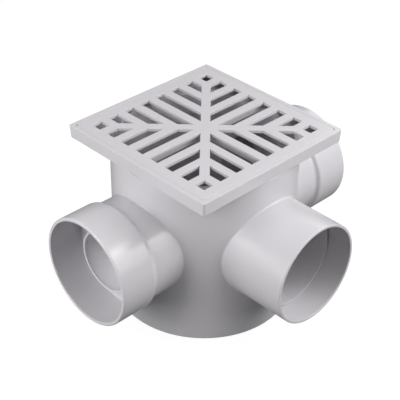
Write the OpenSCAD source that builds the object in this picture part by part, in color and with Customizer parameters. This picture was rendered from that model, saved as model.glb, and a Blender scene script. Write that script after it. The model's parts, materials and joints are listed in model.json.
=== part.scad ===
// Gully trap: a round chamber with one outlet and two socket inlets,
// a square frame with a slotted grate, and a trap bend in the outlet.
// Origin: on the chamber's axis, on its bottom face. +Z up, outlet towards +X.

/* [Chamber] */
// Outer diameter of the chamber
chamber_d = 197; // [190:0.5:204]
// Height of the chamber without the frame
chamber_h = 186.4; // [175:0.1:220]
// Wall of the chamber
chamber_wall = 3.5; // [2.5:0.1:4.5]
// Thickness of the closed floor
floor_t = 4; // [3:0.5:6]
// Rounding of the outer bottom edge
foot_r = 2.5; // [1:0.5:4]
// Rounding inside, where the floor meets the wall
floor_fillet_r = 8; // [4:0.5:12]

/* [Ports] */
// Height of the three port axes above the bottom face
port_z = 100.5; // [92:0.5:104]
// Outer diameter of the pipe that the sockets take and that the outlet matches
pipe_d = 110; // [100:1:112]
// Wall of the outlet and of the necks
port_wall = 3.2; // [2.6:0.1:4]
// Distance from the chamber's axis to the outlet's mouth
outlet_reach = 159.3; // [140:0.1:180]
// How much thicker the outlet is moulded at its root than along its straight end
root_draft = 0.8; // [0.4:0.1:1.2]
// Distance from the chamber's axis to a socket's mouth
inlet_reach = 164.5; // [150:0.1:190]
// Depth of a socket from its mouth to its stop
socket_depth = 40.5; // [32:0.5:48]
// Radial play of a pipe in its socket
socket_play = 0.3; // [0.1:0.05:0.6]
// Wall of the bell round a socket
bell_wall = 3.7; // [3:0.1:5]
// How far the bell's shoulder outside lies behind the socket's stop
shoulder_t = 2.5; // [1.5:0.1:5]
// Rounding of the bell's shoulder
bell_round = 1.8; // [0.8:0.1:2.4]
// Lead-in chamfer of every mouth
mouth_chamfer = 0.8; // [0.4:0.1:1.2]

/* [Frame] */
// Width of the square frame across its top
frame_w = 198; // [190:0.5:220]
// Height of the frame
frame_h = 14.6; // [12:0.1:22]
// Width of the frame's rim beside the grate
rim_w = 4.6; // [3.5:0.1:7]
// How much narrower each side is at the bottom than at the top
frame_draft = 0.8; // [0.2:0.1:1.5]
// Radius of the frame's vertical corners
frame_corner_r = 2.2; // [1.5:0.1:4]
// Thickness of the tray's floor
tray_t = 3.2; // [2.4:0.1:5]
// Length of the collar that plugs into the chamber
collar_len = 22; // [12:1:30]
// Wall of the collar
collar_wall = 3; // [2:0.1:4]

/* [Grate] */
// Distance from slot to slot
slot_pitch = 21.6; // [20:0.1:22]
// Width of a slot, and side of a corner square
slot_w = 11.9; // [8:0.1:13]
// Width of the two diagonal bars
spine_w = 10; // [6:0.2:14]
// Thickness of the grate's plate
plate_t = 3.6; // [2.5:0.1:6]
// Thickness of the rib cross and of the rim below the plate
rib_t = 3; // [2:0.1:5]
// Rounding of the grate's corners
grate_corner_r = 4.5; // [2:0.1:8]

/* [Trap bend] */
// Wall of the bend
bend_wall = 2.4; // [2:0.1:4]
// Radius of the bend's centre line
bend_r = 54; // [53:0.5:60]
// Distance from the chamber's axis to where the spigot's straight part begins
bend_start = 80; // [78:0.5:82]
// How far the end of the spigot stays behind the outlet's mouth
spigot_setback = 28.1; // [24:0.1:34]
// Height of the dipping mouth above the floor
dip_gap = 20; // [12:0.5:28]
// Width of the groove for the seal
seal_w = 4.4; // [3:0.1:6]
// Depth of the groove for the seal
seal_depth = 1.3; // [1:0.1:1.6]
// Distance from the end of the spigot to the groove
seal_setback = 12; // [8:0.5:20]

/* [Fits] */
// Play between the frame, the grate and the chamber, on each side
play = 0.3; // [0.1:0.05:0.5]
// Play of the bend's spigot in the outlet, which the seal closes
spigot_play = 0.8; // [0.3:0.1:1.2]
// Play round the rubber seal, which fills its groove
seal_play = 0.08; // [0.02:0.02:0.2]

/* [Hidden] */
$fn = 96;
eps = 0.01;

pvc = [0.83, 0.82, 0.83];
rubber = [0.12, 0.12, 0.13];

// Chamber
chamber_r = chamber_d / 2;
chamber_bore_r = chamber_r - chamber_wall;

// Ports: the outlet has the size of the pipe, the necks match it
outlet_r = pipe_d / 2;
port_bore_r = outlet_r - port_wall;
socket_r = outlet_r + socket_play;
bell_r = socket_r + bell_wall;
bell_len = socket_depth + shoulder_t;
// The outlet's straight end begins just clear of the chamber
straight_x = chamber_r + 1.5;
// A port's pipe starts inside the wall, where the chamber is as wide as the pipe
root_x = sqrt(pow(chamber_bore_r, 2) - pow(outlet_r, 2)) - chamber_wall;

// Frame: its top is the top of the whole part
top_z = chamber_h + frame_h;
tray_z = chamber_h + tray_t;
recess_w = frame_w - 2 * rim_w;
edge_round = 0.6;
collar_r = chamber_bore_r - play;
collar_bore_r = collar_r - collar_wall;

// Grate: it stands on the tray's floor and ends flush with the frame
grate_w = recess_w - 2 * play;
rib_h = top_z - plate_t - tray_z;
slot_rows = 4;
corner_at = (slot_rows - 0.5) * slot_pitch;
slot_end = corner_at + slot_w / 2;

// Trap bend
bend_outer_r = port_bore_r - spigot_play;
bend_bore_r = bend_outer_r - bend_wall;
leg_x = bend_start - bend_r;
leg_top = port_z - bend_r;
leg_bottom = floor_t + dip_gap;
spigot_end = outlet_reach - spigot_setback;
seal_x = spigot_end - seal_setback;
spigot_chamfer = 1.2;

// A square block with rounded upright edges: wide at the top, w - 2 * lean at the bottom
module drafted_block(w, h, r, lean) {
    top_c = w / 2 - r;
    hull()
        for (sx = [-1, 1], sy = [-1, 1])
            translate([sx * top_c, sy * top_c, 0]) {
                translate([-sx * lean, -sy * lean, 0])
                    cylinder(r = r, h = eps, $fn = 32);
                translate([0, 0, h - edge_round])
                    cylinder(r1 = r, r2 = r - edge_round, h = edge_round, $fn = 32);
            }
}

// A ring of rectangular section, from z0 to z1
module ring(r_in, r_out, z0, z1) {
    translate([0, 0, z0])
        difference() {
            cylinder(r = r_out, h = z1 - z0);
            translate([0, 0, -1])
                cylinder(r = r_in, h = z1 - z0 + 2);
        }
}

// Places a shape that is drawn along +Z on the port axis that points to the given bearing
module on_port(bearing) {
    translate([0, 0, port_z])
        rotate([0, 0, bearing])
            rotate([0, 90, 0])
                children();
}

// Outside of the plain outlet: a slight taper out of the chamber, then straight to the mouth
module outlet_outside() {
    rotate_extrude()
        polygon([
            [0, root_x],
            [outlet_r + root_draft, root_x],
            [outlet_r, straight_x],
            [outlet_r, outlet_reach - mouth_chamfer],
            [outlet_r - mouth_chamfer / 2, outlet_reach],
            [0, outlet_reach]
        ]);
}

// Half outline of a neck and its bell, with a rounded shoulder and a chamfered mouth
module inlet_outline() {
    shoulder = inlet_reach - bell_len;
    translate([0, root_x])
        square([outlet_r, inlet_reach - root_x - eps]);
    translate([0, shoulder + bell_round])
        square([bell_r, bell_len - bell_round - mouth_chamfer]);
    translate([0, shoulder])
        square([bell_r - bell_round, bell_round + eps]);
    translate([bell_r - bell_round, shoulder + bell_round])
        circle(r = bell_round);
    polygon([
        [0, inlet_reach - mouth_chamfer - eps],
        [bell_r, inlet_reach - mouth_chamfer - eps],
        [bell_r - mouth_chamfer / 2, inlet_reach],
        [0, inlet_reach]
    ]);
}

module inlet_outside() {
    rotate_extrude()
        inlet_outline();
}

// Passage of the outlet: its bore from inside the chamber to past the mouth
module outlet_passage() {
    translate([0, 0, root_x - 1])
        cylinder(r = port_bore_r, h = outlet_reach - root_x + 2);
}

// Passage of an inlet: the bore, the socket with its chamfered stop, and the lead-in
module inlet_passage() {
    stop = inlet_reach - socket_depth;
    step = (socket_r - port_bore_r) / 2;
    lead = mouth_chamfer / 2;
    rotate_extrude()
        polygon([
            [0, root_x - 1],
            [port_bore_r, root_x - 1],
            [port_bore_r, stop - step],
            [port_bore_r + step, stop],
            [socket_r, stop],
            [socket_r, inlet_reach - mouth_chamfer],
            [socket_r + mouth_chamfer + lead, inlet_reach + lead],
            [0, inlet_reach + lead]
        ]);
}

// Chamber outside, with a rounded foot
module chamber_outside() {
    rotate_extrude() {
        translate([0, foot_r])
            square([chamber_r, chamber_h - foot_r]);
        square([chamber_r - foot_r, foot_r + eps]);
        translate([chamber_r - foot_r, foot_r])
            circle(r = foot_r);
    }
}

// Hollow of the chamber, with a filleted floor and an open top
module chamber_hollow() {
    rotate_extrude() {
        translate([0, floor_t + floor_fillet_r])
            square([chamber_bore_r, chamber_h - floor_t - floor_fillet_r + 1]);
        translate([0, floor_t])
            square([chamber_bore_r - floor_fillet_r, floor_fillet_r + eps]);
        intersection() {
            translate([chamber_bore_r - floor_fillet_r, floor_t + floor_fillet_r])
                circle(r = floor_fillet_r);
            translate([0, floor_t])
                square([chamber_bore_r, floor_fillet_r + eps]);
        }
    }
}

module body() {
    color(pvc)
        difference() {
            union() {
                chamber_outside();
                on_port(0) outlet_outside();
                on_port(-90) inlet_outside();
                on_port(90) inlet_outside();
            }
            chamber_hollow();
            on_port(0) outlet_passage();
            on_port(-90) inlet_passage();
            on_port(90) inlet_passage();
        }
}

// Square tray with a round hole, on a collar that plugs into the chamber
module frame() {
    color(pvc)
        union() {
            difference() {
                translate([0, 0, chamber_h])
                    drafted_block(frame_w, frame_h, frame_corner_r, frame_draft);
                translate([-recess_w / 2, -recess_w / 2, tray_z])
                    cube([recess_w, recess_w, frame_h]);
                translate([0, 0, chamber_h - 1])
                    cylinder(r = collar_bore_r, h = frame_h + 2);
            }
            ring(collar_bore_r, collar_r, chamber_h - collar_len, chamber_h + tray_t / 2);
        }
}

// One quarter of the slots: six run to the side at +X, their inner ends mitred along the bars
module slot_quarter() {
    mitre = spine_w / sqrt(2);
    intersection() {
        for (i = [0.5 - (slot_rows - 1) : slot_rows - 1.5])
            translate([0, i * slot_pitch - slot_w / 2])
                square([slot_end, slot_w]);
        polygon([[mitre, 0], [slot_end + mitre, slot_end], [slot_end + mitre, -slot_end]]);
    }
}

module slot_pattern() {
    for (a = [0 : 90 : 270])
        rotate(a) {
            slot_quarter();
            translate([corner_at, corner_at])
                square(slot_w, center = true);
        }
}

// Outline of the grate, with rounded corners
module grate_outline(w) {
    straight = w - 2 * grate_corner_r;
    square([w, straight], center = true);
    square([straight, w], center = true);
    for (sx = [-1, 1], sy = [-1, 1])
        translate([sx * straight / 2, sy * straight / 2])
            circle(r = grate_corner_r);
}

// Slotted plate with a rim and a cross of ribs below it
module grate() {
    inner_w = grate_w - 2 * rib_t;
    color(pvc)
        union() {
            translate([0, 0, top_z - plate_t])
                linear_extrude(plate_t)
                    difference() {
                        grate_outline(grate_w);
                        slot_pattern();
                    }
            translate([0, 0, tray_z])
                linear_extrude(rib_h + eps)
                    difference() {
                        grate_outline(grate_w);
                        square(inner_w, center = true);
                    }
            for (a = [0, 90])
                rotate(a)
                    translate([-inner_w / 2 - eps, -rib_t / 2, tray_z])
                        cube([inner_w + 2 * eps, rib_t, rib_h + eps]);
        }
}

// Dipping leg of the bend
module bend_leg() {
    translate([leg_x, 0, 0])
        ring(bend_bore_r, bend_outer_r, leg_bottom, leg_top);
}

// Quarter turn from the leg up to the spigot
module bend_turn() {
    translate([bend_start, 0, leg_top])
        rotate([90, 0, 0])
            rotate([0, 0, 90])
                rotate_extrude(angle = 90)
                    translate([bend_r, 0])
                        difference() {
                            circle(r = bend_outer_r);
                            circle(r = bend_bore_r);
                        }
}

// Straight spigot with the groove for the seal and a chamfered end
module bend_spigot() {
    groove_r = bend_outer_r - seal_depth;
    on_port(0)
        rotate_extrude()
            polygon([
                [bend_bore_r, bend_start],
                [bend_outer_r, bend_start],
                [bend_outer_r, seal_x - seal_w],
                [groove_r, seal_x - seal_w],
                [groove_r, seal_x],
                [bend_outer_r, seal_x],
                [bend_outer_r, spigot_end - 2 * spigot_chamfer],
                [bend_outer_r - spigot_chamfer, spigot_end],
                [bend_bore_r, spigot_end]
            ]);
}

module trap_bend() {
    color(pvc)
        union() {
            bend_leg();
            bend_turn();
            bend_spigot();
        }
}

// Rubber ring between the bend's spigot and the outlet's bore
module bend_seal() {
    color(rubber)
        on_port(0)
            ring(
                bend_outer_r - seal_depth + seal_play,
                port_bore_r - seal_play,
                seal_x - seal_w + seal_play,
                seal_x - seal_play
            );
}

body();
frame();
grate();
trap_bend();
bend_seal();
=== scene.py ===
import json
import math

import bmesh
import bpy
from mathutils import Matrix, Vector, geometry


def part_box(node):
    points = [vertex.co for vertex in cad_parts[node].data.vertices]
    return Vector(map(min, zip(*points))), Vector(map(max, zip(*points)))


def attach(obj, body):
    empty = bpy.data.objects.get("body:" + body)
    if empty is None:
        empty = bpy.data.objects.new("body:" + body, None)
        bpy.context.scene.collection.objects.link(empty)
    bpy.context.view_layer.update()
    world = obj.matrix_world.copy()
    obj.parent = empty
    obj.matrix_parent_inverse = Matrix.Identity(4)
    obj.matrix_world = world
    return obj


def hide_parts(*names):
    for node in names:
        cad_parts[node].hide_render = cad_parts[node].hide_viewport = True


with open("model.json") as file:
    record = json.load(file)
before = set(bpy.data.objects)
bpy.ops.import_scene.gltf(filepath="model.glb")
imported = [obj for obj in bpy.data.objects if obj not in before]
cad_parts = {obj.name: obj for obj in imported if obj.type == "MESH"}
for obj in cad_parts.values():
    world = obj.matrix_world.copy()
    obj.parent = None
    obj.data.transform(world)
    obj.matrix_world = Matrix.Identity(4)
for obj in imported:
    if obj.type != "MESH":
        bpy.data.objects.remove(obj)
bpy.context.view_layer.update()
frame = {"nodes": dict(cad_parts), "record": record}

bl_info = {
    "name": "Gully trap",
    "version": (1, 0, 0),
    "blender": (4, 5, 0),
    "location": "View3D > Sidebar > Gully trap",
    "description": "Moulded drain gully with socket inlets, an outlet, a framed grate and a trap bend",
    "category": "Object",
}

MM = 0.001
MOUNTS = {mount["name"]: mount for mount in frame["record"]["mounts"]}
BODY_LOW, BODY_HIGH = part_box("body")
FRAME_LOW, FRAME_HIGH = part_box("frame")
GRATE_LOW, GRATE_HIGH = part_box("grate")
INLET = MOUNTS["inlet_right"]
OUTLET = MOUNTS["outlet"]

# Bearings of the three ports about the chamber's axis, from +X counter-clockwise
OUTLET_BEARING = 0.0
INLET_BEARINGS = (-math.pi / 2, math.pi / 2)

# The studio's lamps: name, bearing from +X and elevation in degrees,
# width and height in metres, power in watts
SOFTBOXES = (
    ("left_high", -96, 34, 0.5, 0.5, 5.4),
    ("left_low", -100, 10, 0.5, 0.5, 4.6),
    ("left_strip", -127, 19, 0.3, 0.35, 1.3),
    ("right_low", 18, 31, 0.9, 0.9, 6.9),
    ("overhead", 20, 62, 0.9, 0.9, 2.6),
    ("window", 47, 38, 0.55, 0.6, 6.5),
    ("back_right", 106, 34, 0.5, 0.4, 1.4),
    ("back_fill", 180, 38, 0.5, 0.5, 1.5),
)
# All lamps stand this far from the point that they look at, in metres
LAMP_DISTANCE = 1.2
LAMP_TARGET = Vector((0.02, 0, 0.1))

# The studio's floor: half its side in metres, its own shade, and what it glows with where it is seen
FLOOR_HALF = 6.0
FLOOR_SHADE = 0.16
FLOOR_GLOW = 0.9
# Strength of the world's light on the part
WORLD_LIGHT = 0.14

# The camera's sensor in millimetres, and the nearest and farthest distance that it shows in metres
SENSOR_WIDTH = 36
CLIP_START = 0.05
CLIP_END = 50


# ---------------------------------------------------------------- sizes and finishes


def length(name, description, default):
    """A size in metres that the sidebar shows with its unit."""
    return bpy.props.FloatProperty(
        name=name, description=description, default=default, min=0, unit="LENGTH", subtype="DISTANCE"
    )


def angle(name, description, degrees):
    return bpy.props.FloatProperty(
        name=name, description=description, default=math.radians(degrees), subtype="ANGLE", unit="ROTATION"
    )


def factor(name, description, default):
    return bpy.props.FloatProperty(
        name=name, description=description, default=default, min=0, max=1, subtype="FACTOR"
    )


def colour(name, description, default):
    return bpy.props.FloatVectorProperty(
        name=name, description=description, default=default, size=3, min=0, max=1, subtype="COLOR"
    )


class ChamberSizes(bpy.types.PropertyGroup):
    wall: length("Wall", "Thickness of the chamber's wall", 3.5 * MM)
    floor: length("Floor", "Thickness of the closed floor", 4 * MM)
    foot_round: length("Foot rounding", "Rounding of the outer bottom edge", 2.5 * MM)
    floor_fillet: length("Floor fillet", "Rounding inside, between floor and wall", 8 * MM)
    rim_round: length("Rim rounding", "Rounding of the open top edge", 0.4 * MM)


class PortSizes(bpy.types.PropertyGroup):
    wall: length("Wall", "Wall of the outlet and of the necks", 3.2 * MM)
    root_draft: length("Root draft", "How much thicker the outlet is at its root", 0.8 * MM)
    straight_gap: length("Straight gap", "Distance from the chamber to the outlet's straight end", 3.2 * MM)
    root_fillet: length("Root fillet", "Rounding between a pipe and the chamber", 2.2 * MM)
    inner_round: length("Inner rounding", "Rounding of the inner edge of a port", 1.2 * MM)
    bell_wall: length("Bell wall", "Wall of the bell round a socket", 3.7 * MM)
    shoulder_turn: angle("Shoulder turn", "Steepest slope of the bell's shoulder against its axis", 52)
    socket_depth: length("Socket depth", "Depth of a socket from its mouth to its stop", 40.5 * MM)
    shoulder: length("Shoulder", "How far the bell's shoulder lies behind the socket's stop", 2.5 * MM)
    stub_bore: length("Stub bore", "Radius of the bore of the stub inside a socket", 31.8 * MM)
    stub_flare: angle("Stub flare", "Slope of the stub's bore against its axis at its mouth", 10)
    stub_close: angle("Stub close", "Slope of the stub's bore against its axis at its inner end", 38)
    stub_wall: length("Stub wall", "Wall of the stub", 2.6 * MM)
    stub_reach: length("Stub reach", "How far the stub stands out of the web into the socket", 15 * MM)
    stub_length: length("Stub length", "Whole length of the stub, which runs back into the neck", 35 * MM)
    stub_round: length("Stub rounding", "Rounding of the stub's edges", 0.6 * MM)
    web: length("Web", "Thickness of the web that carries the stub", 3.2 * MM)
    lip_round: length("Lip rounding", "Rounding of the outer edge of the outlet's mouth", 0.9 * MM)
    bell_lip: length("Bell lip", "Rounding of the outer edge of a bell's mouth", 1.8 * MM)
    lead_in: length("Lead-in", "Rounding of the inner edge of a mouth", 0.8 * MM)


class FrameSizes(bpy.types.PropertyGroup):
    rim: length("Rim", "Width of the rim beside the grate", 4.75 * MM)
    draft: length("Draft", "How much narrower each side is at the bottom", 0.8 * MM)
    corner: length("Corner", "Radius of the upright corners", 2.2 * MM)
    recess_corner: length("Recess corner", "Radius of the recess's corners", 3.3 * MM)
    edge_round: length("Edge rounding", "Rounding of the rim's outer edges", 0.5 * MM)
    recess_edge: length("Recess edge", "Rounding of the recess's upper edge", 0.2 * MM)
    collar_wall: length("Collar wall", "Wall of the collar that plugs into the chamber", 3 * MM)
    collar_play: length("Collar play", "Play between the collar and the chamber's bore", 0.3 * MM)


class GrateSizes(bpy.types.PropertyGroup):
    pitch: length("Slot pitch", "Distance from slot to slot", 21.6 * MM)
    slot: length("Slot width", "Width of a slot, and side of a corner hole", 11.9 * MM)
    bar: length("Diagonal bar", "Width of the two diagonal bars", 10 * MM)
    plate: length("Plate", "Thickness of the slotted plate", 3.6 * MM)
    rib: length("Rib", "Thickness of the ribs and of the rim below the plate", 3 * MM)
    corner: length("Corner", "Rounding of the grate's corners", 4.5 * MM)
    edge_round: length("Edge rounding", "Rounding of the slots' edges", 0.35 * MM)
    rows: bpy.props.IntProperty(
        name="Slots a side", description="Slots that run out to each side", default=6, min=2, max=12
    )


class Finishes(bpy.types.PropertyGroup):
    pvc: colour("PVC", "Colour of the moulded plastic", (0.62, 0.605, 0.63))
    rubber: colour("Rubber", "Colour of the seal", (0.03, 0.03, 0.032))
    roughness: factor("Roughness", "Roughness of the moulded plastic", 0.24)


class StageSizes(bpy.types.PropertyGroup):
    azimuth: angle("Azimuth", "Turn of the camera about the part, from its -Y side towards +X", 45.35)
    elevation: angle("Elevation", "Height of the camera above the horizon", 34.55)
    roll: angle("Roll", "Turn of the camera about its own axis", 0.79)
    distance: length("Distance", "Distance from the camera to its target", 1081.6 * MM)
    lens: bpy.props.FloatProperty(
        name="Lens", description="Focal length of the camera", default=95.17, unit="CAMERA"
    )
    target: bpy.props.FloatVectorProperty(
        name="Target", description="Point that the camera looks at", size=3, subtype="XYZ", unit="LENGTH",
        default=(27.0 * MM, -33.0 * MM, 139.4 * MM),
    )


class GullySettings(bpy.types.PropertyGroup):
    chamber: bpy.props.PointerProperty(type=ChamberSizes)
    ports: bpy.props.PointerProperty(type=PortSizes)
    frame: bpy.props.PointerProperty(type=FrameSizes)
    grate: bpy.props.PointerProperty(type=GrateSizes)
    finishes: bpy.props.PointerProperty(type=Finishes)
    stage: bpy.props.PointerProperty(type=StageSizes)


# ---------------------------------------------------------------- node trees


class Graph:
    """A node tree, filled by one method and by arithmetic on its sockets."""

    def __init__(self, tree):
        self.tree = tree

    @classmethod
    def cleared(cls, owner):
        """The emptied node tree of a material or of a world."""
        owner.use_nodes = True
        owner.node_tree.nodes.clear()
        return cls(owner.node_tree)

    def node(self, kind, settings=None, **values):
        """Adds a node: its settings first, then its sockets by name, as values or as links."""
        node = self.tree.nodes.new(kind)
        for key, value in (settings or {}).items():
            setattr(node, key, value)
        for key, value in values.items():
            self.plug(self.find(node.inputs, key), value)
        return node

    def output(self, node, name):
        """An output of a node, ready for arithmetic."""
        return Field(self, self.find(node.outputs, name))

    def value(self, kind, name, settings=None, **values):
        """An output of a new node, ready for arithmetic."""
        return self.output(self.node(kind, settings, **values), name)

    @staticmethod
    def find(sockets, key):
        """A socket by its identifier, with underscores for spaces."""
        for socket in sockets:
            if socket.identifier.replace(" ", "_") == key:
                return socket
        raise KeyError(f"no socket {key} among {[socket.identifier for socket in sockets]}")

    def plug(self, socket, value):
        """Sets a socket, or links it to a field or to each field of a list."""
        for one in value if isinstance(value, list) else [value]:
            if isinstance(one, Field):
                self.tree.links.new(one.socket, socket)
            else:
                socket.default_value = one

    def math(self, operation, *values):
        node = self.tree.nodes.new("ShaderNodeMath")
        node.operation = operation
        for socket, value in zip(node.inputs, values):
            self.plug(socket, value)
        return Field(self, node.outputs[0])

    def mix(self, share, low, high):
        """A colour between two, by a share from 0 to 1."""
        return self.value(
            "ShaderNodeMix", "Result_Color", {"data_type": "RGBA"},
            Factor_Float=share, A_Color=low, B_Color=high,
        )


class Field:
    """A socket that adds Math nodes when it is used in an expression."""

    def __init__(self, graph, socket):
        self.graph = graph
        self.socket = socket

    def __add__(self, other):
        return self.graph.math("ADD", self, other)

    def __radd__(self, other):
        return self.graph.math("ADD", other, self)

    def __sub__(self, other):
        return self.graph.math("SUBTRACT", self, other)

    def __rsub__(self, other):
        return self.graph.math("SUBTRACT", other, self)

    def __mul__(self, other):
        return self.graph.math("MULTIPLY", self, other)

    def __rmul__(self, other):
        return self.graph.math("MULTIPLY", other, self)

    def __truediv__(self, other):
        return self.graph.math("DIVIDE", self, other)

    def __abs__(self):
        return self.graph.math("ABSOLUTE", self)


# ---------------------------------------------------------------- materials

WHITE = (1, 1, 1, 1)
# Depth of the skin's fine relief
BUMP_DEPTH = 0.05 * MM


def opaque(shade, gain=1.0):
    """A colour with its alpha, made lighter or darker by the gain."""
    return (*(min(1.0, channel * gain) for channel in shade), 1.0)


def noise(graph, where, scale, detail=2.0):
    """A cloudy pattern from 0 to 1."""
    return graph.value(
        "ShaderNodeTexNoise", "Fac", {"noise_dimensions": "3D"},
        Vector=where, Scale=scale, Detail=detail, Roughness=0.55,
    )


def plain_surface(graph, base, roughness, skin):
    """The shader that a material of plastic or rubber ends in."""
    shader = graph.value(
        "ShaderNodeBsdfPrincipled", "BSDF", Base_Color=base, Roughness=roughness, Normal=skin, IOR=1.5
    )
    graph.node("ShaderNodeOutputMaterial", Surface=shader)


def moulded_plastic(name, finish):
    """Half-gloss moulded PVC: a faint flow mottle, a fine orange peel and a slow waviness."""
    material = bpy.data.materials.new(name)
    graph = Graph.cleared(material)
    where = graph.value("ShaderNodeTexCoord", "Object")
    flow = noise(graph, where, scale=14.0, detail=3.0)
    grain = noise(graph, where, scale=260.0)
    peel = noise(graph, where, scale=900.0)
    wave = noise(graph, where, scale=45.0, detail=1.0)
    mottle = flow * 0.7 + grain * 0.3
    relief = peel * 0.5 + wave * 1.2
    roughness = finish.roughness - 0.05 + 0.1 * grain
    base = graph.mix(mottle, opaque(finish.pvc, 0.97), opaque(finish.pvc, 1.03))
    skin = graph.value("ShaderNodeBump", "Normal", Strength=0.35, Distance=BUMP_DEPTH, Height=relief)
    plain_surface(graph, base, roughness, skin)
    return material


def seal_rubber(name, finish):
    """Matt black rubber with a fine mould grain."""
    material = bpy.data.materials.new(name)
    graph = Graph.cleared(material)
    where = graph.value("ShaderNodeTexCoord", "Object")
    grain = noise(graph, where, scale=1400.0)
    cloud = noise(graph, where, scale=60.0)
    roughness = 0.6 + 0.2 * grain
    base = graph.mix(cloud, opaque(finish.rubber, 0.8), opaque(finish.rubber, 1.3))
    skin = graph.value("ShaderNodeBump", "Normal", Strength=0.4, Distance=BUMP_DEPTH, Height=grain)
    plain_surface(graph, base, roughness, skin)
    return material


def seen(graph):
    """1 to rays that come from the camera, straight or through something, and 0 to all others."""
    rays = graph.node("ShaderNodeLightPath")
    straight = graph.output(rays, "Is_Camera_Ray")
    through = graph.output(rays, "Is_Transmission_Ray")
    return graph.math("MAXIMUM", straight, through)


def bright_ground(name):
    """A floor that looks plain white to the camera and still takes a shadow."""
    material = bpy.data.materials.new(name)
    graph = Graph.cleared(material)
    matt = graph.value("ShaderNodeBsdfDiffuse", "BSDF", Color=opaque((FLOOR_SHADE,) * 3))
    glow = seen(graph) * FLOOR_GLOW
    light = graph.value("ShaderNodeEmission", "Emission", Color=WHITE, Strength=glow)
    both = graph.value("ShaderNodeAddShader", "Shader", Shader=matt, Shader_001=light)
    graph.node("ShaderNodeOutputMaterial", Surface=both)
    return material


# ---------------------------------------------------------------- mesh tools


def polar(radius, turn, height):
    return Vector((radius * math.cos(turn), radius * math.sin(turn), height))


def arc(centre, radius, start, end, steps):
    """Points and outward normals of an arc in a section plane; the angles are in degrees."""
    made = []
    for i in range(steps + 1):
        turn = math.radians(start + (end - start) * i / steps)
        normal = (math.cos(turn), math.sin(turn))
        made.append(((centre[0] + radius * normal[0], centre[1] + radius * normal[1]), normal))
    return made


def cove(centre, radius, start, end, steps):
    """As arc, for a hollow rounding: the normals point to the centre."""
    return [(point, (-n[0], -n[1])) for point, n in arc(centre, radius, start, end, steps)]


def show(name, mesh):
    """A new object in the scene that carries the mesh."""
    piece = bpy.data.objects.new(name, mesh)
    bpy.context.scene.collection.objects.link(piece)
    return piece


class Skin:
    """Rings of points with their own normals, joined into one closed mesh."""

    def __init__(self):
        self.points = []
        self.normals = []
        self.faces = []

    def ring(self, places):
        """Adds (point, normal) pairs and returns their numbers."""
        first = len(self.points)
        for point, normal in places:
            self.points.append(Vector(point))
            self.normals.append(Vector(normal).normalized())
        return list(range(first, len(self.points)))

    def bridge(self, low, high):
        for i in range(len(low)):
            j = (i + 1) % len(low)
            self.faces.append((low[i], low[j], high[j], high[i]))

    def loft(self, rings):
        for low, high in zip(rings, rings[1:]):
            self.bridge(low, high)

    def cap(self, ring, normal):
        """Closes a flat ring with a fan round its centre."""
        centre = sum((self.points[i] for i in ring), Vector()) / len(ring)
        hub = self.ring([(centre, normal)])[0]
        for i in range(len(ring)):
            self.faces.append((ring[i], ring[(i + 1) % len(ring)], hub))

    def finish(self, name, material):
        """A new object from the skin, with its faces outwards and its own normals kept."""
        mesh = bpy.data.meshes.new(name)
        mesh.from_pydata(self.points, [], self.faces)
        shell = bmesh.new()
        shell.from_mesh(mesh)
        bmesh.ops.recalc_face_normals(shell, faces=shell.faces)
        shell.to_mesh(mesh)
        shell.free()
        mesh.polygons.foreach_set("use_smooth", [True] * len(mesh.polygons))
        mesh.normals_split_custom_set_from_vertices(self.normals)
        mesh.materials.append(material)
        return show(name, mesh)


# ---------------------------------------------------------------- chamber and ports

# Points round the chamber and round a pipe, rows up a wall, and steps across a root's rounding
AROUND_CHAMBER = 144
AROUND_PORT = 112
WALL_ROWS = 16
FILLET_STEPS = 5
CHAMBER_STEP = 2 * math.pi / AROUND_CHAMBER

# Gap between the rounding at a pipe's root and the pipe's first ring
ROOT_GAP = 0.4 * MM
# Rounding where a socket's web meets the pipe and the stub
SOCKET_CREASE = 0.5 * MM
# Width of the strip round a window in which the wall has no points of its own
WINDOW_MARGIN = 3 * MM
# Points of a wall that lie closer together than this are one
SAME_POINT = 1e-7


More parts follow.
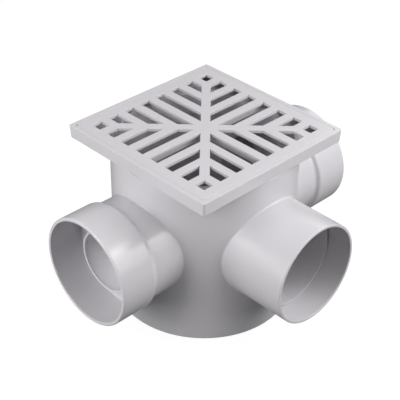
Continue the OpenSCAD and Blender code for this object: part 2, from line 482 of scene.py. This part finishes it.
class Port:
    """One pipe of the chamber: rings across its axis, and the saddles where it meets a wall.

    radius is the pipe's, wall the round wall's, and blend that of the rounding between them."""

    def __init__(self, skin, bearing, height):
        self.skin = skin
        self.bearing = bearing
        self.height = height
        self.along = Vector((math.cos(bearing), math.sin(bearing), 0))
        self.side = Vector((-math.sin(bearing), math.cos(bearing), 0))
        self.up = Vector((0, 0, 1))
        self.turns = [2 * math.pi * i / AROUND_PORT for i in range(AROUND_PORT)]

    def direction(self, side, along, up):
        return self.side * side + self.along * along + self.up * up

    def place(self, side, along, up):
        return self.direction(side, along, up) + self.up * self.height

    def ring(self, section):
        """A ring across the axis from one ((radius, along), normal) of a section."""
        (radius, along), (out, forward) = section
        return self.skin.ring(
            (
                self.place(radius * math.cos(t), along, radius * math.sin(t)),
                self.direction(out * math.cos(t), forward, out * math.sin(t)),
            )
            for t in self.turns
        )

    def saddle(self, radius, wall, blend, share, hollow):
        """A ring of the rounding between the pipe and the wall, from the pipe at 0 to the wall at 1."""
        places = []
        reach = radius + blend
        for t in self.turns:
            side = reach * math.cos(t)
            along = math.sqrt((wall + blend) ** 2 - side**2)
            to_pipe = Vector((-math.cos(t), 0, -math.sin(t)))
            to_wall = Vector((-side, -along, 0)) / (wall + blend)
            towards = to_pipe.slerp(to_wall, share)
            centre = Vector((side, along, reach * math.sin(t)))
            normal = -towards if hollow else towards
            places.append((self.place(*(centre + blend * towards)), self.direction(*normal)))
        return self.skin.ring(places)

    def rounding(self, radius, wall, blend, hollow):
        """The rings of that rounding, the one on the wall last."""
        return [
            self.saddle(radius, wall, blend, i / FILLET_STEPS, hollow) for i in range(FILLET_STEPS + 1)
        ]

    def covers(self, turn, up, radius, wall, blend, margin=0.0):
        """Whether a point of the wall lies in this port's window, or closer to it than the margin."""
        if math.cos(turn - self.bearing) < 0:
            return False
        side = (wall + blend) * math.sin(turn - self.bearing)
        return math.hypot(side, up - self.height) < radius + blend + margin


class FlatWall:
    """A round wall laid flat: the places of its points, their numbers in the skin, and its seams."""

    def __init__(self, skin, wall):
        self.skin = skin
        self.wall = wall
        self.numbers = []
        self.places = []
        self.seams = []

    def lay(self, number, turn, up):
        self.numbers.append(number)
        self.places.append(Vector((turn * self.wall, up)))

    def seam(self, first, closed):
        """Joins the points from the given one to the last one into a line that no face crosses."""
        last = len(self.places)
        self.seams.extend((i, i + 1) for i in range(first, last - 1))
        if closed:
            self.seams.append((last - 1, first))

    def lay_edge(self, ring):
        """The wall's lower or upper end, with its first point laid again at the end."""
        first = len(self.places)
        for i in range(AROUND_CHAMBER + 1):
            number = ring[i % AROUND_CHAMBER]
            self.lay(number, -math.pi + i * CHAMBER_STEP, self.skin.points[ring[0]].z)
        self.seam(first, closed=False)

    def lay_window(self, ring):
        first = len(self.places)
        for number in ring:
            point = self.skin.points[number]
            self.lay(number, math.atan2(point.y, point.x), point.z)
        self.seam(first, closed=True)

    def faces(self):
        """The triangles between the points: their middle's turn and height, and their corners."""
        _, _, faces, origins, _, _ = geometry.delaunay_2d_cdt(
            self.places, self.seams, [], 0, SAME_POINT
        )
        for face in faces:
            corners = [origins[v][0] for v in face]
            middle = sum((self.places[c] for c in corners), Vector((0, 0))) / len(corners)
            yield middle.x / self.wall, middle.y, tuple(self.numbers[c] for c in corners)


def windowed_wall(skin, wall, low, high, ports, blend, facing):
    """Fills a round wall between two rings, round the windows of its ports.

    ports pairs each port with its window's ring and the radius of its pipe, and facing is 1 for an
    outer wall and -1 for an inner one. The wall is laid flat, triangulated round the windows, and
    rolled up again."""
    bottom = skin.points[low[0]].z
    top = skin.points[high[0]].z
    flat = FlatWall(skin, wall)

    def in_window(turn, up, margin=0.0):
        return any(port.covers(turn, up, radius, wall, blend, margin) for port, _, radius in ports)

    for ring in (low, high):
        flat.lay_edge(ring)
    for row in range(1, WALL_ROWS):
        up = bottom + (top - bottom) * row / WALL_ROWS
        for i in range(AROUND_CHAMBER):
            turn = -math.pi + i * CHAMBER_STEP
            if in_window(turn, up, WINDOW_MARGIN):
                continue
            number = skin.ring([(polar(wall, turn, up), polar(facing, turn, 0))])[0]
            flat.lay(number, turn, up)
            if i == 0:
                flat.lay(number, math.pi, up)
    for _, window, _ in ports:
        flat.lay_window(window)
    skin.faces.extend(corners for turn, up, corners in flat.faces() if not in_window(turn, up))


def chamber_ring(skin, section):
    """A level ring round the chamber's axis from one ((radius, height), normal) of a section."""
    (radius, height), (out, up) = section
    return skin.ring(
        (polar(radius, -math.pi + i * CHAMBER_STEP, height), polar(out, -math.pi + i * CHAMBER_STEP, up))
        for i in range(AROUND_CHAMBER)
    )


def bell_section(sizes, mouth, neck, socket, neck_start):
    """An inlet's section from its neck over the shoulder and the bell to the lead-in of its socket."""
    bell = socket + sizes.bell_wall
    shoulder = mouth - sizes.socket_depth - sizes.shoulder
    turn = sizes.shoulder_turn
    slope = math.degrees(turn)
    sweep = (bell - neck) / (2 - 2 * math.cos(turn))
    start = shoulder - sweep * math.sin(turn)
    end = start + 2 * sweep * math.sin(turn)
    lip, lead_in = sizes.bell_lip, sizes.lead_in
    return [
        ((neck, neck_start), (1, 0)),
        *cove((neck + sweep, start), sweep, 180, 180 - slope, steps=6),
        *arc((bell - sweep, end), sweep, -slope, 0, steps=6)[1:],
        ((bell, (shoulder + mouth) / 2), (1, 0)),
        *arc((bell - lip, mouth - lip), lip, 0, 90, steps=6),
        *arc((socket + lead_in, mouth - lead_in), lead_in, 90, 180, steps=5),
    ]


def stub_section(sizes, stop, socket, bore):
    """The section from a socket's wall over its stop, out and in round the stub, and back to the neck.

    The stub's bore and its back are two arcs about one hub, which narrow the stub inwards."""
    crease, edge = SOCKET_CREASE, sizes.stub_round
    stub = sizes.stub_bore + sizes.stub_wall
    front = stop + sizes.stub_reach
    back = stop - sizes.web
    flare, close = math.degrees(sizes.stub_flare), math.degrees(sizes.stub_close)
    first, last = sizes.stub_flare, sizes.stub_close
    bow = (sizes.stub_length - 2 * edge) / (math.sin(last) - math.sin(first))
    hub = (sizes.stub_bore - bow * math.cos(first), front - edge + bow * math.sin(first))
    shell = bow + sizes.stub_wall
    middle = bow + sizes.stub_wall / 2
    tail = (hub[0] + middle * math.cos(last), hub[1] - middle * math.sin(last))
    meet = math.asin((hub[1] - back + crease) / shell)
    return [
        *cove((socket - crease, stop + crease), crease, 0, -90, steps=3),
        *cove((stub + crease, stop + crease), crease, -90, -180, steps=3),
        *arc((stub - edge, front - edge), edge, 0, 90, steps=4),
        *arc((sizes.stub_bore + edge, front - edge), edge, 90, 180, steps=4),
        *cove(hub, bow, -flare, -close, steps=10)[1:],
        *arc(tail, sizes.stub_wall / 2, 180 - close, 360 - close, steps=8)[1:],
        *arc(hub, shell, -close, -math.degrees(meet), steps=6)[1:],
        *cove((hub[0] + shell * math.cos(meet) + crease, back - crease), crease, 180, 90, steps=3)[1:],
        *cove((bore - crease, back - crease), crease, 90, 0, steps=3),
    ]


def inlet_section(sizes, mouth, neck_start, bore_end):
    """An inlet's section from its neck over the bell to the socket's stop, and back through the neck."""
    neck = OUTLET["dims"]["r_mm"] * MM
    socket = INLET["dims"]["r_mm"] * MM
    stop = mouth - sizes.socket_depth
    bore = neck - sizes.wall
    return [
        *bell_section(sizes, mouth, neck, socket, neck_start),
        ((socket, (stop + mouth) / 2), (-1, 0)),
        *stub_section(sizes, stop, socket, bore),
        ((bore, bore_end), (-1, 0)),
    ]


def outlet_section(sizes, mouth, straight, bore_end):
    """The outlet's section from its straight end round the lip and back along its bore."""
    outside = OUTLET["dims"]["r_mm"] * MM
    bore = outside - sizes.wall
    lip, lead_in = sizes.lip_round, sizes.lead_in
    return [
        ((outside, straight), (1, 0)),
        ((outside, (straight + mouth) / 2), (1, 0)),
        *arc((outside - lip, mouth - lip), lip, 0, 90, steps=5),
        *arc((bore + lead_in, mouth - lead_in), lead_in, 90, 180, steps=5),
        ((bore, (straight + mouth) / 2), (-1, 0)),
        ((bore, bore_end), (-1, 0)),
    ]


def add_ports(skin, sizes, outside, inside):
    """The chamber's pipes. Returns the windows that they leave in its outer and in its inner wall."""
    height = OUTLET["pos_m"][2]
    pipe = OUTLET["dims"]["r_mm"] * MM
    bore = pipe - sizes.wall
    fillet, inner = sizes.root_fillet, sizes.inner_round
    clear_out = outside + fillet + ROOT_GAP
    clear_in = inside + inner + ROOT_GAP
    outer_windows, inner_windows = [], []
    for bearing in (OUTLET_BEARING, *INLET_BEARINGS):
        port = Port(skin, bearing, height)
        is_outlet = bearing == OUTLET_BEARING
        root = pipe + (sizes.root_draft / 2 if is_outlet else 0)
        outer = port.rounding(root, outside, fillet, hollow=True)
        hole = port.rounding(bore, inside, inner, hollow=False)
        if is_outlet:
            section = outlet_section(sizes, BODY_HIGH.x, outside + sizes.straight_gap, clear_in)
        else:
            section = inlet_section(sizes, BODY_HIGH.y, clear_out, clear_in)
        rings = [port.ring(part) for part in section]
        skin.loft([*reversed(outer), *rings, *hole])
        outer_windows.append((port, outer[-1], root))
        inner_windows.append((port, hole[-1], bore))
    return outer_windows, inner_windows


def build_chamber(settings, material):
    """The one-piece chamber with its outlet and its two socket inlets."""
    chamber, sizes = settings.chamber, settings.ports
    skin = Skin()
    outside = -BODY_LOW.x
    inside = outside - chamber.wall
    top = BODY_HIGH.z
    outer_windows, inner_windows = add_ports(skin, sizes, outside, inside)
    foot, dish, rim = chamber.foot_round, chamber.floor_fillet, chamber.rim_round
    base_section = arc((outside - foot, foot), foot, -90, 0, steps=6)
    lip_section = [
        *arc((outside - rim, top - rim), rim, 0, 90, steps=3),
        *arc((inside + rim, top - rim), rim, 90, 180, steps=3),
    ]
    bowl_section = cove((inside - dish, chamber.floor + dish), dish, 0, -90, steps=8)
    base, lip, bowl = (
        [chamber_ring(skin, part) for part in section]
        for section in (base_section, lip_section, bowl_section)
    )
    skin.cap(base[0], (0, 0, -1))
    skin.loft(base)
    windowed_wall(skin, outside, base[-1], lip[0], outer_windows, sizes.root_fillet, 1)
    skin.loft(lip)
    windowed_wall(skin, inside, bowl[0], lip[-1], inner_windows, sizes.inner_round, -1)
    skin.loft(bowl)
    skin.cap(bowl[-1], (0, 0, 1))
    return skin.finish("gully_body", material)


# ---------------------------------------------------------------- frame

# Steps along each side and round each corner of a square ring
ALONG_SIDE = 28
ROUND_CORNER = 8

# Rounding where the frame's floor meets its recess, its hole and its collar
FRAME_CREASE = 0.4 * MM
# Smallest radius of a corner on a rounded edge
LEAST_CORNER = 0.1 * MM


def square_outline(half, radius):
    """(point, normal) pairs round a square with rounded corners, from its +X side on."""
    places = []
    straight = half - radius
    for quarter in range(4):
        turn = Matrix.Rotation(quarter * math.pi / 2, 2)
        for i in range(1, ALONG_SIDE):
            spot = Vector((half, straight * (2 * i / ALONG_SIDE - 1)))
            places.append((turn @ spot, turn @ Vector((1, 0))))
        for i in range(ROUND_CORNER + 1):
            a = math.pi / 2 * i / ROUND_CORNER
            spot = Vector((straight + radius * math.cos(a), straight + radius * math.sin(a)))
            places.append((turn @ spot, turn @ Vector((math.cos(a), math.sin(a)))))
    return places


def square_ring(skin, half, radius, height, out, up):
    """A level ring with a square outline; out and up are the share of its normal each way."""
    return skin.ring(
        ((*spot, height), (normal.x * out, normal.y * out, up))
        for spot, normal in square_outline(half, radius)
    )


def round_ring(skin, guide, radius, height, out, up):
    """A level round ring whose points stand in the same directions as those of the guide outline."""
    places = []
    for spot, _ in guide:
        way = spot.normalized()
        places.append(((*(way * radius), height), (way.x * out, way.y * out, up)))
    return skin.ring(places)


def rim_edge(skin, face, corner, top, round_off, sign):
    """The rings of a face's rounded top edge: sign is 1 for an outer face and -1 for an inner one."""
    angles = (0, 90) if sign > 0 else (90, 0)
    rings = []
    for (shift, height), (across, rise) in arc((0, top - round_off), round_off, *angles, steps=3):
        shrink = sign * (shift - round_off)
        radius = max(LEAST_CORNER, corner + shrink)
        rings.append(square_ring(skin, face + shrink, radius, height, sign * across, rise))
    return rings


def build_frame(settings, material):
    """The square tray with its rim, its round hole and the collar below it."""
    sizes = settings.frame
    skin = Skin()
    half = FRAME_HIGH.x
    top = FRAME_HIGH.z
    bottom = BODY_HIGH.z
    tray = GRATE_LOW.z
    edge, corner = sizes.edge_round, sizes.corner
    recess, recess_corner = half - sizes.rim, sizes.recess_corner
    foot = half - sizes.draft
    collar = -BODY_LOW.x - settings.chamber.wall - sizes.collar_play
    hole = collar - sizes.collar_wall
    guide = square_outline(recess, recess_corner)
    lean = math.atan2(sizes.draft, top - bottom)
    rings = [
        round_ring(skin, guide, collar, bottom - FRAME_CREASE, 1, 0),
        round_ring(skin, guide, collar + FRAME_CREASE, bottom, 0, -1),
        square_ring(skin, foot - edge, corner, bottom, 0, -1),
        square_ring(skin, foot, corner, bottom + edge, math.cos(lean), -math.sin(lean)),
        *rim_edge(skin, half, corner, top, edge, 1),
        *rim_edge(skin, recess, recess_corner, top, sizes.recess_edge, -1),
        square_ring(skin, recess, recess_corner, tray + FRAME_CREASE, -1, 0),
        square_ring(skin, recess - FRAME_CREASE, recess_corner, tray, 0, 1),
        round_ring(skin, guide, hole + FRAME_CREASE, tray, 0, 1),
        round_ring(skin, guide, hole, tray - FRAME_CREASE, -1, 0),
        round_ring(skin, guide, hole, FRAME_LOW.z + edge, -1, 0),
        round_ring(skin, guide, hole + edge, FRAME_LOW.z, 0, -1),
        round_ring(skin, guide, collar - edge, FRAME_LOW.z, 0, -1),
        round_ring(skin, guide, collar, FRAME_LOW.z + edge, 1, 0),
    ]
    skin.loft([*rings, rings[0]])
    return skin.finish("gully_frame", material)


# ---------------------------------------------------------------- grate

# Points on each rounded corner of an outline
CORNER_POINTS = 10
# Points of the grate that lie closer together than this are one
WELD = 0.01 * MM
# Edges that turn by more than this are rounded
SHARP_EDGE = math.radians(30)


class ShapeTree(Graph):
    """A geometry node tree with a named input for each of its sizes."""

    def __init__(self, name):
        super().__init__(bpy.data.node_groups.new(name, "GeometryNodeTree"))
        self.tree.interface.new_socket("Geometry", in_out="OUTPUT", socket_type="NodeSocketGeometry")
        self.sizes = self.tree.nodes.new("NodeGroupInput")
        self.identifiers = {}

    def size(self, name, kind="NodeSocketFloat"):
        socket = self.tree.interface.new_socket(name, in_out="INPUT", socket_type=kind)
        self.identifiers[name] = socket.identifier
        return Field(self, self.sizes.outputs[name])

    def vector(self, x=0.0, y=0.0, z=0.0):
        return self.value("ShaderNodeCombineXYZ", "Vector", X=x, Y=y, Z=z)

    def join(self, *parts):
        return self.value("GeometryNodeJoinGeometry", "Geometry", Geometry=list(parts))

    def move(self, shape, **values):
        return self.value("GeometryNodeTransform", "Geometry", Geometry=shape, **values)

    def rectangle(self, width, height):
        """A flat face about the origin."""
        return self.value(
            "GeometryNodeMeshGrid", "Mesh", Size_X=width, Size_Y=height, Vertices_X=2, Vertices_Y=2
        )

    def square(self, width):
        """The outline of a square about the origin."""
        return self.value(
            "GeometryNodeCurvePrimitiveQuadrilateral", "Curve", Width=width, Height=width
        )

    def rounded_square(self, width, corner):
        return self.value(
            "GeometryNodeFilletCurve", "Curve", {"mode": "POLY"},
            Curve=self.square(width), Radius=corner, Count=CORNER_POINTS,
        )

    def solid(self, outlines, thickness):
        """Closed solid over flat closed outlines; an outline inside another is a hole."""
        face = self.value("GeometryNodeFillCurve", "Mesh", {"mode": "NGONS"}, Curve=outlines)
        raised = self.value(
            "GeometryNodeExtrudeMesh", "Mesh", {"mode": "FACES"},
            Mesh=face, Offset=self.vector(z=1.0), Offset_Scale=thickness, Individual=False,
        )
        under = self.value("GeometryNodeFlipFaces", "Mesh", Mesh=face)
        both = self.join(raised, under)
        return self.value("GeometryNodeMergeByDistance", "Geometry", Geometry=both, Distance=WELD)


def slot_faces(tree, pitch, slot, bar, rows):
    """One side's slots as flat faces: each runs out to the side, its inner end cut along the bars."""
    mitre = bar * math.sqrt(0.5)
    half = slot / 2
    end = (rows + 1) / 2 * pitch + half
    first = (rows - 1) / -2 * pitch
    line = tree.value(
        "GeometryNodeMeshLine", "Mesh", {"mode": "OFFSET"},
        Count=rows, Start_Location=tree.vector(y=first), Offset=tree.vector(y=pitch),
    )
    blank = tree.rectangle(1.0, slot)
    slots = tree.value("GeometryNodeInstanceOnPoints", "Instances", Points=line, Instance=blank)
    slots = tree.value("GeometryNodeRealizeInstances", "Geometry", Geometry=slots)
    where = tree.node("ShaderNodeSeparateXYZ", Vector=tree.value("GeometryNodeInputPosition", "Position"))
    x, y = (tree.output(where, axis) for axis in "XY")
    outer = tree.math("GREATER_THAN", x, 0.0)
    reach = outer * end + (1 - outer) * (abs(y) + mitre)
    slots = tree.value(
        "GeometryNodeSetPosition", "Geometry", Geometry=slots, Position=tree.vector(reach, y, 0.0)
    )
    return slots, end - half


def slotted_plate(tree, width, corner, thickness, pitch, slot, bar, rows):
    """The plate with its slots on all four sides and a square hole in each corner."""
    side, corner_at = slot_faces(tree, pitch, slot, bar, rows)
    hole = tree.move(tree.rectangle(slot, slot), Translation=tree.vector(corner_at, corner_at, 0.0))
    quarter = tree.join(side, hole)
    turned = [tree.move(quarter, Rotation=(0, 0, turn * math.pi / 2)) for turn in range(4)]
    holes = tree.value("GeometryNodeMeshToCurve", "Curve", Mesh=tree.join(*turned))
    return tree.solid(tree.join(tree.rounded_square(width, corner), holes), thickness)


def rim_and_ribs(tree, width, corner, rib, height):
    """The rim below the plate and the cross of ribs inside it."""
    outline = tree.rounded_square(width, corner)
    rim = tree.solid(tree.join(outline, tree.square(width - 2 * rib)), height)
    span = width - rib
    lift = tree.vector(z=height / 2)
    ribs = [
        tree.move(tree.value("GeometryNodeMeshCube", "Mesh", Size=tree.vector(*size)), Translation=lift)
        for size in ((span, rib, height), (rib, span, height))
    ]
    return [rim, *ribs]


def grate_tree():
    """The whole grate as a node tree: slotted plate, rim and ribs in one solid."""
    tree = ShapeTree("Slotted grate")
    width = tree.size("Width")
    corner = tree.size("Corner radius")
    pitch = tree.size("Slot pitch")
    slot = tree.size("Slot width")
    bar = tree.size("Bar width")
    rows = tree.size("Slots a side", "NodeSocketInt")
    plate = tree.size("Plate thickness")
    rib = tree.size("Rib thickness")
    foot = tree.size("Foot height")
    top = tree.size("Top height")
    material = tree.size("Material", "NodeSocketMaterial")
    overlap = plate / 2
    slab = slotted_plate(tree, width, corner, plate, pitch, slot, bar, rows)
    slab = tree.move(slab, Translation=tree.vector(z=top - plate))
    ribs = [
        tree.move(part, Translation=tree.vector(z=foot))
        for part in rim_and_ribs(tree, width, corner, rib, top - plate - foot + overlap)
    ]
    solid = tree.value(
        "GeometryNodeMeshBoolean", "Mesh", {"operation": "UNION", "solver": "EXACT"},
        Mesh_2=[slab, *ribs],
    )
    solid = tree.value("GeometryNodeRealizeInstances", "Geometry", Geometry=solid)
    solid = tree.value("GeometryNodeSetMaterial", "Geometry", Geometry=solid, Material=material)
    output = tree.tree.nodes.new("NodeGroupOutput")
    tree.plug(output.inputs["Geometry"], solid)
    return tree


def soften_edges(carrier, width):
    """Rounds the sharp edges of what the carrier shows."""
    bevel = carrier.modifiers.new("edges", "BEVEL")
    bevel.width = width
    bevel.segments = 2
    bevel.limit_method = "ANGLE"
    bevel.angle_limit = SHARP_EDGE
    bevel.harden_normals = True


def build_grate(settings, material):
    """The grate that lies in the frame."""
    sizes = settings.grate
    tree = grate_tree()
    carrier = show("grate_carrier", bpy.data.meshes.new("grate_carrier"))
    modifier = carrier.modifiers.new("grate", "NODES")
    modifier.node_group = tree.tree
    values = {
        "Width": GRATE_HIGH.x - GRATE_LOW.x,
        "Corner radius": sizes.corner,
        "Slot pitch": sizes.pitch,
        "Slot width": sizes.slot,
        "Bar width": sizes.bar,
        "Slots a side": sizes.rows,
        "Plate thickness": sizes.plate,
        "Rib thickness": sizes.rib,
        "Foot height": GRATE_LOW.z,
        "Top height": GRATE_HIGH.z,
        "Material": material,
    }
    for name, value in values.items():
        modifier[tree.identifiers[name]] = value
    soften_edges(carrier, sizes.edge_round)
    graph = bpy.context.evaluated_depsgraph_get()
    mesh = bpy.data.meshes.new_from_object(carrier.evaluated_get(graph), depsgraph=graph)
    bpy.data.objects.remove(carrier)
    if not mesh.polygons:
        raise RuntimeError("the grate's node tree gave no faces")
    return show("gully_grate", mesh)


# ---------------------------------------------------------------- stage


def build_floor(name):
    """The wide floor that the part stands on, which is staging."""
    half = FLOOR_HALF
    corners = [(-half, -half, 0), (half, -half, 0), (half, half, 0), (-half, half, 0)]
    mesh = bpy.data.meshes.new(name)
    mesh.from_pydata(corners, [], [(0, 1, 2, 3)])
    mesh.materials.append(bright_ground(name))
    show(name, mesh)


def light_world(name):
    """A world that looks white to the camera and lights the part faintly."""
    world = bpy.data.worlds.new(name)
    bpy.context.scene.world = world
    graph = Graph.cleared(world)
    strength = WORLD_LIGHT + seen(graph) * (1 - WORLD_LIGHT)
    sky = graph.value("ShaderNodeBackground", "Background", Color=WHITE, Strength=strength)
    graph.node("ShaderNodeOutputWorld", Surface=sky)


def softbox(name, bearing, elevation, width, height, power):
    """A soft lamp that looks at the middle of the part."""
    lamp = bpy.data.lights.new(name, "AREA")
    lamp.shape = "RECTANGLE"
    lamp.size = width
    lamp.size_y = height
    lamp.energy = power
    bearing, elevation = math.radians(bearing), math.radians(elevation)
    way = polar(math.cos(elevation), bearing, math.sin(elevation))
    holder = show(name, lamp)
    holder.location = LAMP_TARGET + way * LAMP_DISTANCE
    holder.rotation_euler = way.to_track_quat("Z", "Y").to_euler()


def place_camera(name, stage):
    """The scene's camera, turned to its target."""
    camera = bpy.data.cameras.new(name)
    camera.lens = stage.lens
    camera.sensor_width = SENSOR_WIDTH
    camera.clip_start = CLIP_START
    camera.clip_end = CLIP_END
    back = polar(math.cos(stage.elevation), stage.azimuth - math.pi / 2, math.sin(stage.elevation))
    right = polar(1, stage.azimuth, 0)
    axes = Matrix((right, back.cross(right), back)).transposed()
    turn = axes @ Matrix.Rotation(stage.roll, 3, "Z")
    holder = show(name, camera)
    holder.matrix_world = Matrix.Translation(Vector(stage.target) + back * stage.distance) @ turn.to_4x4()
    bpy.context.scene.camera = holder


# ---------------------------------------------------------------- operators


def settings_of(context):
    return context.scene.gully_trap


def stand_in(piece, node):
    """Hangs a finished piece on the part in place of its plain solid."""
    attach(piece, "root")
    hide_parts(node)


def dress(node, material):
    """Gives a solid that stays its finish."""
    solid = frame["nodes"][node]
    solid.data.materials.clear()
    solid.data.materials.append(material)


class GULLY_OT_chamber(bpy.types.Operator):
    """Makes the chamber with its outlet and socket inlets"""

    bl_idname = "gully.chamber"
    bl_label = "Chamber"

    def execute(self, context):
        settings = settings_of(context)
        material = moulded_plastic("body_pvc", settings.finishes)
        stand_in(build_chamber(settings, material), "body")
        return {"FINISHED"}


class GULLY_OT_frame(bpy.types.Operator):
    """Makes the square frame with its tray and collar"""

    bl_idname = "gully.frame"
    bl_label = "Frame"

    def execute(self, context):
        settings = settings_of(context)
        material = moulded_plastic("frame_pvc", settings.finishes)
        stand_in(build_frame(settings, material), "frame")
        return {"FINISHED"}


class GULLY_OT_grate(bpy.types.Operator):
    """Makes the slotted grate with its ribs"""

    bl_idname = "gully.grate"
    bl_label = "Grate"

    def execute(self, context):
        settings = settings_of(context)
        material = moulded_plastic("grate_pvc", settings.finishes)
        stand_in(build_grate(settings, material), "grate")
        return {"FINISHED"}


class GULLY_OT_trap(bpy.types.Operator):
    """Finishes the trap bend and its rubber seal"""

    bl_idname = "gully.trap"
    bl_label = "Trap bend and seal"

    def execute(self, context):
        finish = settings_of(context).finishes
        dress("trap_bend", moulded_plastic("bend_pvc", finish))
        dress("bend_seal", seal_rubber("seal_rubber", finish))
        return {"FINISHED"}


class GULLY_OT_stage(bpy.types.Operator):
    """Sets the pale floor, the soft light and the camera"""

    bl_idname = "gully.stage"
    bl_label = "Stage"

    def execute(self, context):
        build_floor("studio_floor")
        light_world("studio_world")
        for lamp in SOFTBOXES:
            softbox(*lamp)
        place_camera("studio_camera", settings_of(context).stage)
        context.scene.view_settings.view_transform = "Standard"
        return {"FINISHED"}


STEPS = (GULLY_OT_chamber, GULLY_OT_frame, GULLY_OT_grate, GULLY_OT_trap, GULLY_OT_stage)


class GULLY_PT_sidebar(bpy.types.Panel):
    """Lists the pieces of the gully trap and the stage"""

    bl_idname = "GULLY_PT_sidebar"
    bl_label = "Gully trap"
    bl_space_type = "VIEW_3D"
    bl_region_type = "UI"
    bl_category = "Gully trap"

    def draw(self, context):
        column = self.layout.column(align=True)
        for step in STEPS:
            column.operator(step.bl_idname)


GROUPS = (ChamberSizes, PortSizes, FrameSizes, GrateSizes, Finishes, StageSizes, GullySettings)
CLASSES = (*GROUPS, *STEPS, GULLY_PT_sidebar)


def register():
    for item in CLASSES:
        bpy.utils.register_class(item)
    bpy.types.Scene.gully_trap = bpy.props.PointerProperty(type=GullySettings)


def unregister():
    del bpy.types.Scene.gully_trap
    for item in reversed(CLASSES):
        bpy.utils.unregister_class(item)


def main():
    """Makes every piece and the stage."""
    register()
    bpy.ops.gully.chamber()
    bpy.ops.gully.frame()
    bpy.ops.gully.grate()
    bpy.ops.gully.trap()
    bpy.ops.gully.stage()


if __name__ == "__main__":
    main()
